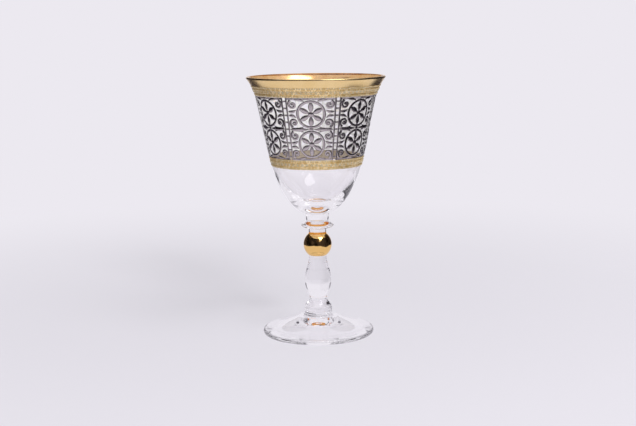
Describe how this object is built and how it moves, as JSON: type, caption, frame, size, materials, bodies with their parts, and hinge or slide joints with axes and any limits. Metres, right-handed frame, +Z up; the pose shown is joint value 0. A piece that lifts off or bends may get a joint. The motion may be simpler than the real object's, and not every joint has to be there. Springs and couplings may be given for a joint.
{
  "type": "red wine glass",
  "caption": "Stemmed red wine goblet of clear glass with a flared gilded rim, pierced platinum-coloured filigree, a gold ball knop, a baluster stem and a round foot.",
  "frame": {"origin": "on the table, under the middle of the foot, on the stem's axis", "axes": "+Z up along the stem's axis, -Y towards the picture's camera"},
  "size_m": [0.0904, 0.0904, 0.1701],
  "materials": {
    "clear_glass": "fire-polished, colourless",
    "polished_gold": "bright burnished gold film",
    "relief_gold": "finely embossed gold film",
    "platinum": "satin platinum-coloured film"
  },
  "bodies": {
    "root": {"bowl": "clear_glass", "bowl_spool": "clear_glass", "collar_disc": "clear_glass", "ball_knop": "clear_glass", "baluster_stem": "clear_glass", "base_knop": "clear_glass", "foot": "clear_glass", "rim_gold_band": "polished_gold", "upper_relief_band": "relief_gold", "lower_relief_band": "relief_gold", "filigree_panel_1": "platinum", "filigree_panel_2": "platinum", "filigree_panel_3": "platinum", "filigree_panel_4": "platinum", "filigree_panel_5": "platinum", "filigree_panel_6": "platinum", "filigree_panel_7": "platinum", "ball_gilding": "polished_gold"}
  },
  "joints": []
}
